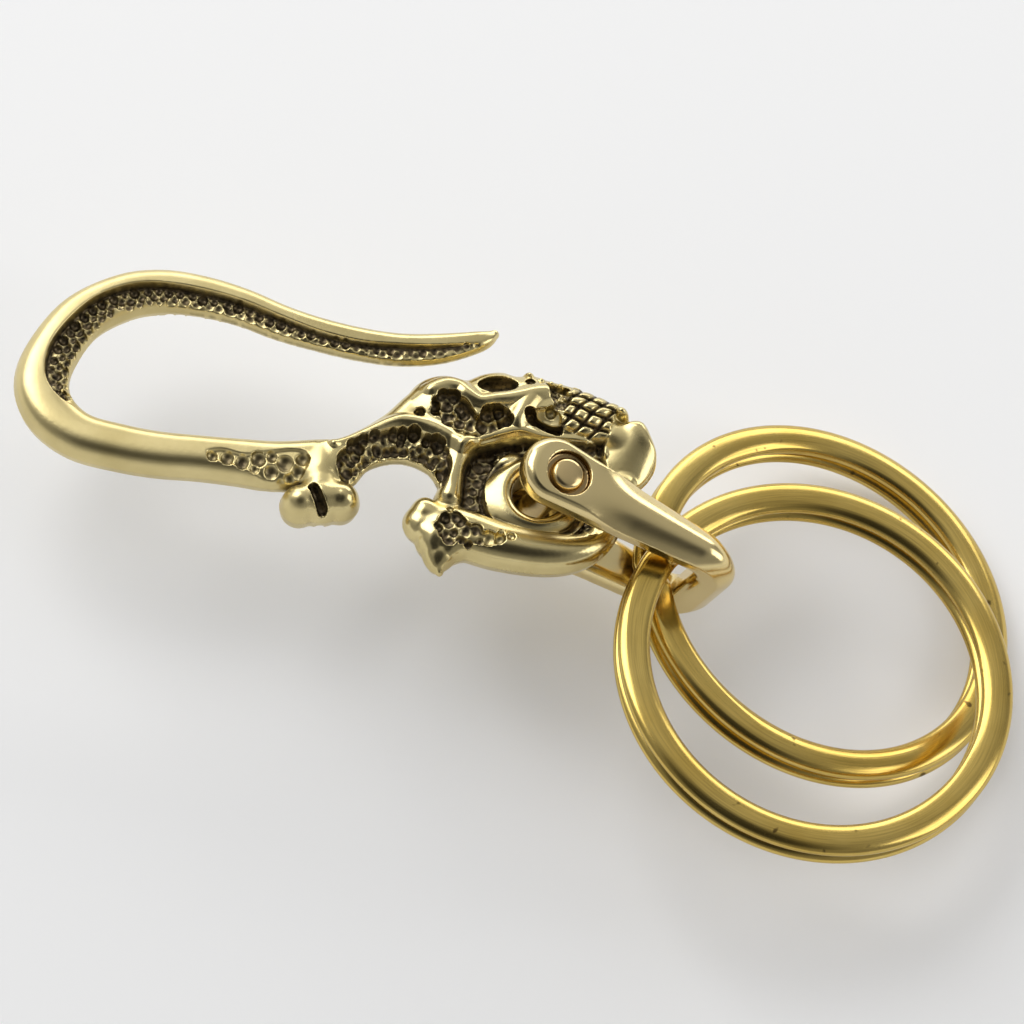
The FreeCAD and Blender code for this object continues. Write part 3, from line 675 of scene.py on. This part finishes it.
class Nodes:
    """A node tree, and short ways to add nodes to it."""

    def __init__(self, tree):
        self.tree = tree

    def feed(self, node, sockets):
        """Give a node's sockets their values: a link from an output, or else a constant."""
        for key, value in sockets.items():
            if isinstance(value, bpy.types.NodeSocket):
                self.tree.links.new(value, node.inputs[key])
            else:
                node.inputs[key].default_value = value

    def add(self, kind, sockets=None, **settings):
        """A new node with its settings, and its sockets by name or number."""
        node = self.tree.nodes.new(kind)
        for key, value in settings.items():
            setattr(node, key, value)
        self.feed(node, sockets or {})
        return node

    def place(self):
        """The place on the piece."""
        return self.add("ShaderNodeTexCoord").outputs["Object"]

    def stored(self, name, output="Fac"):
        """What the mesh stores for each vertex."""
        return self.add("ShaderNodeAttribute", attribute_name=name).outputs[output]

    def noise(self, place, scale, detail):
        """Noise from 0 to 1."""
        sockets = {"Vector": place, "Scale": scale, "Detail": detail}
        return self.add("ShaderNodeTexNoise", sockets).outputs["Fac"]

    def ramp(self, source, *stops):
        """A colour ramp: (place, grey or colour) stops."""
        node = self.add("ShaderNodeValToRGB", {"Fac": source})
        marks = node.color_ramp.elements
        while len(marks) < len(stops):
            marks.new(0.5)
        for mark, (place, colour) in zip(marks, stops):
            mark.position = place
            mark.color = (*colour, 1) if isinstance(colour, tuple) else (colour, colour, colour, 1)
        return node.outputs["Color"]

    def fade(self, source, start, end):
        """1 below start, 0 above end, smooth between them."""
        sockets = {"Value": source, "From Min": start, "From Max": end, "To Min": 1.0, "To Max": 0.0}
        node = self.add("ShaderNodeMapRange", sockets, interpolation_type="SMOOTHSTEP")
        return node.outputs["Result"]

    def mix(self, factor, first, second, blend_type="MIX"):
        """A mix of two colours, which are the node's sockets 6 and 7."""
        sockets = {"Factor": factor, 6: first, 7: second}
        node = self.add("ShaderNodeMix", sockets, data_type="RGBA", blend_type=blend_type)
        return node.outputs[2]

    def math(self, operation, *values):
        """Arithmetic on numbers."""
        return self.add("ShaderNodeMath", dict(enumerate(values)), operation=operation).outputs[0]

    def vector_math(self, operation, *values, output="Vector"):
        """Arithmetic on vectors."""
        node = self.add("ShaderNodeVectorMath", dict(enumerate(values)), operation=operation)
        return node.outputs[output]

    def bump(self, height, strength, distance):
        """A normal that follows a height."""
        sockets = {"Strength": strength, "Distance": distance, "Height": height}
        return self.add("ShaderNodeBump", sockets).outputs["Normal"]


def new_material(name):
    """A material, its Principled shader and its nodes."""
    material = bpy.data.materials.new(name)
    material.use_nodes = True
    return material, material.node_tree.nodes["Principled BSDF"], Nodes(material.node_tree)


def cast_brass():
    """Cast brass, satin where it is handled and dark with patina in the carving."""
    material, shader, nodes = new_material("cast_brass_antique")
    patina, wear = nodes.stored("patina"), nodes.stored("wear")
    place = nodes.place()
    cloud = nodes.noise(place, scale=260.0, detail=4.0)
    grit = nodes.noise(place, scale=2600.0, detail=3.0)
    bright = nodes.ramp(cloud, (0.3, (0.61, 0.50, 0.23)), (0.7, (0.74, 0.62, 0.31)))
    dark = nodes.ramp(grit, (0.3, (0.024, 0.019, 0.012)), (0.72, (0.165, 0.124, 0.066)))
    drift = nodes.math("MULTIPLY_ADD", cloud, 0.5, -0.25)
    amount = nodes.ramp(nodes.math("ADD", patina, drift), (0.22, 0.0), (0.78, 1.0))
    polish = nodes.ramp(wear, (0.0, 0.36), (1.0, 0.21))
    nodes.feed(shader, {
        "Base Color": nodes.mix(amount, bright, dark),
        "Metallic": nodes.ramp(amount, (0.5, 1.0), (1.0, 0.8)),
        "Roughness": nodes.mix(amount, polish, (0.33, 0.33, 0.33, 1)),
        "Specular IOR Level": 0.3,
        "Normal": nodes.bump(grit, strength=0.12, distance=0.00008),
    })
    return material


# Level of the rim of the pin's sunk seats, in metres from the middle of the pin.
SEAT_TOP = 0.0065


def round_axis(nodes, place, joint):
    """Distance of a place from a joint's axis, and from the joint along that axis, in metres."""
    off = nodes.vector_math("SUBTRACT", place, joint["pos_m"])
    around = nodes.vector_math("CROSS_PRODUCT", off, joint["axis"])
    radius = nodes.vector_math("LENGTH", around, output="Value")
    along = nodes.vector_math("DOT_PRODUCT", off, joint["axis"], output="Value")
    return radius, nodes.math("ABSOLUTE", along)


def polished_brass(name, low, high, painted_shade_radius):
    """Polished brass with hair scratches, and painted shade in the pin's sunk seats up to a radius in metres.
    """
    material, shader, nodes = new_material(name)
    place = nodes.place()
    cloud = nodes.noise(place, scale=110.0, detail=3.0)
    stretch = nodes.add("ShaderNodeMapping", {
        "Vector": place, "Rotation": (0.0, 0.25, -0.43), "Scale": (350.0, 4200.0, 4200.0),
    })
    hair = nodes.noise(stretch.outputs[0], scale=1.0, detail=2.0)
    tint = nodes.ramp(cloud, (0.3, low), (0.7, high))
    radius, height = round_axis(nodes, place, joint_named("shackle_swing"))
    # Painted shade: inside the pin's sunk seats, up to the given radius, the colour turns dark brown.
    near = nodes.fade(radius, painted_shade_radius - 0.0001, painted_shade_radius)
    sunk = nodes.fade(height, SEAT_TOP - 0.0005, SEAT_TOP - 0.0001)
    nodes.feed(shader, {
        "Base Color": nodes.mix(nodes.math("MULTIPLY", near, sunk), tint, (0.34, 0.24, 0.11, 1)),
        "Metallic": 1.0,
        "Roughness": nodes.ramp(hair, (0.3, 0.15), (0.75, 0.22)),
        "Normal": nodes.bump(hair, strength=0.03, distance=0.00003),
    })
    return material


def ring_brass():
    """Drawn brass wire, with streaks along the wire and flecks of tarnish."""
    material, shader, nodes = new_material("ring_brass_drawn")
    streak = nodes.noise(nodes.stored("wire", "Vector"), scale=1.0, detail=4.0)
    place = nodes.place()
    cloud = nodes.noise(place, scale=140.0, detail=5.0)
    fleck = nodes.noise(place, scale=900.0, detail=1.0)
    tint = nodes.ramp(cloud, (0.3, (0.61, 0.42, 0.1)), (0.7, (0.73, 0.535, 0.16)))
    streaked = nodes.mix(1.0, tint, nodes.ramp(streak, (0.3, 0.75), (0.6, 1.0)), "MULTIPLY")
    tarnish = nodes.ramp(fleck, (0.74, 0.0), (0.8, 0.85))
    nodes.feed(shader, {
        "Base Color": nodes.mix(tarnish, streaked, (0.09, 0.05, 0.015, 1)),
        "Metallic": 1.0,
        "Roughness": nodes.ramp(streak, (0.3, 0.26), (0.7, 0.14)),
        "Normal": nodes.bump(streak, strength=0.12, distance=0.00004),
    })
    return material


# Split rings: the wire has an oval section and a shorter step than the solid's. It is ground flat next to the
# step, and the flat ends in a tongue where the wire goes down.
RING_RADIUS = 17.485
WIRE_WIDTH = 2.8
WIRE_HEIGHT = 1.46
TURN_RISE = 1.5
FACE = 1.48
GROUND_DEPTH = 0.19
GROUND_DEG = 55.0
STEP_DEG = 11.0
END_GAP_DEG = 1.5
TURN_DEG = 360 - STEP_DEG - END_GAP_DEG
WIRE_SIDES = 44
WIRE_STOPS = 560
# The wire's ends are rounded: the size of the section at the last two stops, and the degrees between them.
END_SIZES = (0.55, 0.86)
END_ROUND_DEG = 0.7
# Scales of the wire's own coordinates for its streaks: along it in degrees, and across it. The lower half of
# the wire is shifted, so that it has its own streaks.
STREAK_ALONG = 0.06
STREAK_ACROSS = 7.0
STREAK_SHIFT = 40


def wire_profile():
    """Section of the wire before it is ground: a soft oval."""
    angles = [2 * math.pi * k / WIRE_SIDES for k in range(WIRE_SIDES)]
    return [(math.cos(a) * WIRE_WIDTH / 2, math.sin(a) * WIRE_HEIGHT / 2) for a in angles]


def wire_level(along):
    """Height of the wire at an angle along it, in degrees."""
    share = min(max((along - TURN_DEG) / STEP_DEG, 0), 1)
    return (share * share * (3 - 2 * share) - 0.5) * TURN_RISE


def ground_level(along):
    """Height of the ground faces at an angle along the wire: lowest next to the step."""
    past = max(0, TURN_DEG - along, along - TURN_DEG - STEP_DEG)
    return FACE - GROUND_DEPTH * (1 - min(past / GROUND_DEG, 1)) ** 0.7


def tube_faces(rows, sides):
    """Four-sided faces between rows of points that go round a tube."""
    faces = []
    for row in range(rows - 1):
        for k in range(sides):
            a, b = row * sides + k, row * sides + (k + 1) % sides
            faces.append((a, b, b + sides, a + sides))
    return faces


def ring_mesh(name, place, step_at_deg):
    """One wire in two turns, placed by a matrix."""
    total = 2 * TURN_DEG + STEP_DEG
    start = step_at_deg - TURN_DEG - STEP_DEG / 2
    stops = list(np.linspace(0, total, WIRE_STOPS))
    stops[1], stops[-2] = END_ROUND_DEG, total - END_ROUND_DEG
    sizes = [*END_SIZES, *[1.0] * (WIRE_STOPS - 4), *END_SIZES[::-1]]
    profile = wire_profile()
    points, wire = [], []
    for along, size in zip(stops, sizes):
        angle = math.radians(start + along)
        face = ground_level(along)
        for k, (r, h) in enumerate(profile):
            radius = RING_RADIUS - WIRE_WIDTH / 2 + r * size
            level = min(max(wire_level(along) + h * size, -face), face)
            point = Vector((radius * math.cos(angle), radius * math.sin(angle), level))
            points.append(place @ (point * MM))
            lower = STREAK_SHIFT * (k > WIRE_SIDES / 2)
            wire.append((along * STREAK_ALONG, r * STREAK_ACROSS + lower, h * STREAK_ACROSS))
    faces = [(a, d, c, b) for a, b, c, d in tube_faces(WIRE_STOPS, WIRE_SIDES)]
    faces.append(tuple(range(WIRE_SIDES)))
    faces.append(tuple(range(len(points) - 1, len(points) - WIRE_SIDES - 1, -1)))
    mesh = new_mesh(name, points, faces)
    made = mesh.attributes.new("wire", "FLOAT_VECTOR", "POINT")
    made.data.foreach_set("vector", np.array(wire, np.float32).ravel())
    return mesh


def ring_place(mount_name, joint_name):
    """Frame of a ring: its centre and axis from its mount, its X from the bow outwards."""
    mount = next(m for m in record["mounts"] if m["name"] == mount_name)
    centre = Vector(mount["pos_m"])
    up = Vector(mount["axis"]).normalized()
    out = (centre - Vector(joint_named(joint_name)["pos_m"])).normalized()
    side = up.cross(out).normalized()
    turn = Matrix((side.cross(up), side, up)).transposed()
    return Matrix.Translation(centre) @ turn.to_4x4()


# Shackle, in its own frame: along it from the pin, across its arms, and along the pin.
SHACKLE_CELL = 0.09
SHACKLE_MARGIN = 6
SHACKLE_REACH = 17.5
SHACKLE_HALF = 6.5
BOW_RADIUS = 4.2
EYE_HALF_WIDTH = 2.9
BOW_HALF_WIDTH = 1.4
CROWN_EYE = 0.2
CROWN_ARM = 1.1
# Distances from the pin between which the crown grows.
CROWN_GROWS = (1.5, 7.0)


def shackle_frame():
    """Origin of the shackle's frame, and its three directions as rows."""
    swing, bow = joint_named("shackle_swing"), joint_named("front_ring_swing")
    origin = np.array(swing["pos_m"])
    pin_way = np.array(swing["axis"]) / np.linalg.norm(swing["axis"])
    long_way = np.array(bow["pos_m"]) - origin
    long_way = long_way - pin_way * (long_way @ pin_way)
    long_way = long_way / np.linalg.norm(long_way)
    return origin, np.array((long_way, np.cross(pin_way, long_way), pin_way))


def crown_cut(s, t, w):
    """Distance outside the crowned faces of the shackle's arms and bow."""
    over_s = s - (SHACKLE_REACH - BOW_RADIUS)
    over_w = np.abs(w) - (SHACKLE_HALF - BOW_RADIUS)
    outer = np.hypot(np.maximum(over_s, 0), np.maximum(over_w, 0)) - BOW_RADIUS
    outer = outer + np.minimum(np.maximum(over_s, over_w), 0)
    half = EYE_HALF_WIDTH + (BOW_HALF_WIDTH - EYE_HALF_WIDTH) * np.clip(s / SHACKLE_REACH, 0, 1)
    crown = CROWN_EYE + (CROWN_ARM - CROWN_EYE) * ease(s, *CROWN_GROWS)
    slope = 2 * crown * np.abs(t) / half ** 2
    return (outer + crown * (t / half) ** 2) / np.sqrt(1 + slope ** 2)


def crowned_shackle(name):
    """The solid's shackle with the outer faces of its arms and bow crowned, through a level set."""
    origin, turn = shackle_frame()
    source = frame["nodes"]["shackle"].data
    source.calc_loop_triangles()
    corners = np.array([v.co for v in source.vertices])
    local = ((corners - origin) @ turn.T / MM).astype(np.float32)
    triangles = np.array([t.vertices for t in source.loop_triangles], np.uint32)
    solid = openvdb.FloatGrid.createLevelSetFromPolygons(
        local, triangles=triangles, transform=openvdb.createLinearTransform(SHACKLE_CELL), halfWidth=8)
    low = np.floor(local.min(0) / SHACKLE_CELL).astype(int) - SHACKLE_MARGIN
    size = np.ceil(local.max(0) / SHACKLE_CELL).astype(int) + SHACKLE_MARGIN - low
    field = np.zeros(size, np.float32)
    solid.copyToArray(field, ijk=tuple(int(i) for i in low))
    axes = ((low[k] + np.arange(size[k])) * SHACKLE_CELL for k in range(3))
    cut = crown_cut(*np.meshgrid(*axes, indexing="ij"))
    points, faces = zero_surface(np.maximum(field, cut), SHACKLE_CELL, band=4)
    points = (points + low * SHACKLE_CELL) * MM @ turn + origin
    return new_mesh(name, points.tolist(), faces)


# Half of the pin's outline, from its middle to the top of its peened head: radius and level.
PIN_OUTLINE = [
    (1.25, 0.0), (1.25, 5.73), (1.27, 5.75), (1.48, 5.75), (1.5, 5.77), (1.5, 6.0), (1.48, 6.06),
    (1.27, 6.32), (1.2, 6.37), (1.0, 6.43), (0.65, 6.48), (0.3, 6.5),
]
PIN_SIDES = 72


def turned_pin(name):
    """The solid's pin, with bevelled and slightly domed heads."""
    swing = joint_named("shackle_swing")
    turn = Vector((0, 0, 1)).rotation_difference(Vector(swing["axis"])).to_matrix().to_4x4()
    place = Matrix.Translation(Vector(swing["pos_m"])) @ turn
    outline = [(radius, -level) for radius, level in PIN_OUTLINE[:0:-1]] + PIN_OUTLINE
    points = []
    for radius, level in outline:
        for k in range(PIN_SIDES):
            angle = 2 * math.pi * k / PIN_SIDES
            point = Vector((radius * math.cos(angle), radius * math.sin(angle), level))
            points.append(place @ (point * MM))
    faces = [tuple(range(PIN_SIDES - 1, -1, -1)), tuple(range(len(points) - PIN_SIDES, len(points)))]
    return new_mesh(name, points, faces + tube_faces(len(outline), PIN_SIDES))


def put(name, mesh, body, node, material):
    """A new piece that stands for a CAD node and moves with its body."""
    piece = bpy.data.objects.new(name, mesh)
    bpy.context.collection.objects.link(piece)
    mesh.materials.append(material)
    mesh.polygons.foreach_set("use_smooth", [True] * len(mesh.polygons))
    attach(piece, body)
    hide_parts(node)


# Where each ring's wire steps, in degrees round the ring: 0 is opposite the bow, 180 is at the bow.
RING_STEPS = (("front", 187.5), ("back", 177.5))


def dress():
    """Every piece of the clip with its finish."""
    cast, drawn = cast_brass(), ring_brass()
    height, patina, wear = sculpt()
    mesh, points = closed_mesh("skull_hook", height)
    attribute(mesh, "patina", sampled(patina, points))
    attribute(mesh, "wear", sampled(wear, points))
    put("skull_hook", mesh, "hook", "hook_body", cast)
    for side, step in RING_STEPS:
        place = ring_place(side + "_key_ring", side + "_ring_swing")
        mesh = ring_mesh(side + "_ring_wire", place, step)
        put(side + "_ring_wire", mesh, side + "_ring", side + "_split_ring", drawn)
    bow = polished_brass("polished_brass_bow", (0.74, 0.59, 0.28), (0.84, 0.69, 0.35), painted_shade_radius=0.00205)
    put("crowned_shackle", crowned_shackle("crowned_shackle"), "shackle", "shackle", bow)
    rivet = polished_brass("polished_brass_pin", (0.56, 0.42, 0.19), (0.70, 0.54, 0.27), painted_shade_radius=0.0)
    put("turned_pin", turned_pin("turned_pin"), "pin", "shackle_pin", rivet)


# The studio, in metres.
FLOOR_HALF = 3.0
FLOOR_GAP = 0.0002
LIGHT_TARGET = Vector((0.032, -0.012, 0.0))
LIGHT_DISTANCE = 0.9
# Panels of light: name, direction from the clip, width and height, and power.
PANELS = (
    ("key_panel", (-0.5, 0.5, 0.7), (0.7, 0.7), 4.4),
    ("back_strip", (0.2, 0.9, 0.35), (1.4, 0.35), 3.8),
    ("right_fill", (0.85, -0.2, 0.5), (0.5, 0.5), 1.7),
)
# Directions of the sky's brightest and darkest places.
BRIGHT_WAY = (-0.15, 0.6, 0.78)
DARK_WAY = (-0.146, -0.455, 0.878)


def backdrop():
    """A plain pale floor under the clip."""
    corners = [(x * FLOOR_HALF, y * FLOOR_HALF, 0) for x, y in ((-1, -1), (1, -1), (1, 1), (-1, 1))]
    mesh = new_mesh("floor", corners, [(0, 1, 2, 3)])
    floor = bpy.data.objects.new("floor", mesh)
    bpy.context.collection.objects.link(floor)
    floor.location = (0.0, 0.0, cad_box[0][2] - FLOOR_GAP)
    material, shader, nodes = new_material("pale_floor")
    nodes.feed(shader, {"Base Color": (0.93, 0.93, 0.93, 1), "Roughness": 0.8})
    mesh.materials.append(material)


def area_light(name, place, target, size, power):
    """A soft rectangular light aimed at a point."""
    lamp = bpy.data.lights.new(name, "AREA")
    lamp.shape = "RECTANGLE"
    lamp.size, lamp.size_y = size
    lamp.energy = power
    lamp_object = bpy.data.objects.new(name, lamp)
    bpy.context.collection.objects.link(lamp_object)
    lamp_object.location = place
    lamp_object.rotation_euler = (target - place).to_track_quat("-Z", "Y").to_euler()


def sky():
    """A studio that is bright high up at the back, dark high up in front, and pale along the floor's edge."""
    world = bpy.data.worlds.new("studio")
    bpy.context.scene.world = world
    world.use_nodes = True
    nodes = Nodes(world.node_tree)
    way = nodes.add("ShaderNodeTexCoord").outputs["Generated"]
    height = nodes.add("ShaderNodeSeparateXYZ", {"Vector": way}).outputs["Z"]
    to_bright = nodes.vector_math("DOT_PRODUCT", way, BRIGHT_WAY, output="Value")
    to_dark = nodes.vector_math("DOT_PRODUCT", way, DARK_WAY, output="Value")
    open_sky = nodes.ramp(to_bright, (0.0, 0.28), (0.35, 0.28), (0.6, 0.4), (0.85, 0.55), (1.0, 0.65))
    shade = nodes.ramp(to_dark, (0.8, 1.0), (0.94, 0.12))
    tone = nodes.mix(1.0, open_sky, shade, "MULTIPLY")
    low_edge = nodes.ramp(height, (0.1, 1.0), (0.2, 0.0))
    colour = nodes.mix(low_edge, tone, (0.86, 0.86, 0.86, 1))
    nodes.feed(world.node_tree.nodes["Background"], {"Color": colour})


def lights():
    """Soft studio light: a key panel from the back left, a long strip behind and a fill from the right."""
    for name, heading, size, power in PANELS:
        place = LIGHT_TARGET + Vector(heading).normalized() * LIGHT_DISTANCE
        area_light(name, place, LIGHT_TARGET, size, power)
    sky()


# The photograph's view: its right and up, the point in its middle, half its width, which is 512 pixels of
# 0.0854 mm, and the distance, in metres.
VIEW_RIGHT = Vector((0.9892, -0.0674, 0.13))
VIEW_UP = Vector((0.0, 0.8878, 0.4601))
VIEW_TARGET = Vector((31.85, -12.5, -1.15)) * MM
VIEW_HALF_WIDTH = 512 * 0.0854 * MM
VIEW_DISTANCE = 0.45


def camera():
    """The photograph's view: from above the near edge, turned a little to the left."""
    back = VIEW_RIGHT.cross(VIEW_UP).normalized()
    data = bpy.data.cameras.new("camera")
    data.sensor_width = 36.0
    data.lens = data.sensor_width / 2 / (VIEW_HALF_WIDTH / VIEW_DISTANCE)
    data.clip_start = 0.01
    view = bpy.data.objects.new("camera", data)
    bpy.context.collection.objects.link(view)
    turn = Matrix((VIEW_RIGHT, VIEW_UP, back)).transposed()
    view.matrix_world = Matrix.Translation(VIEW_TARGET + back * VIEW_DISTANCE) @ turn.to_4x4()
    bpy.context.scene.camera = view


dress()
backdrop()
lights()
camera()
bpy.context.scene.view_settings.view_transform = "Standard"
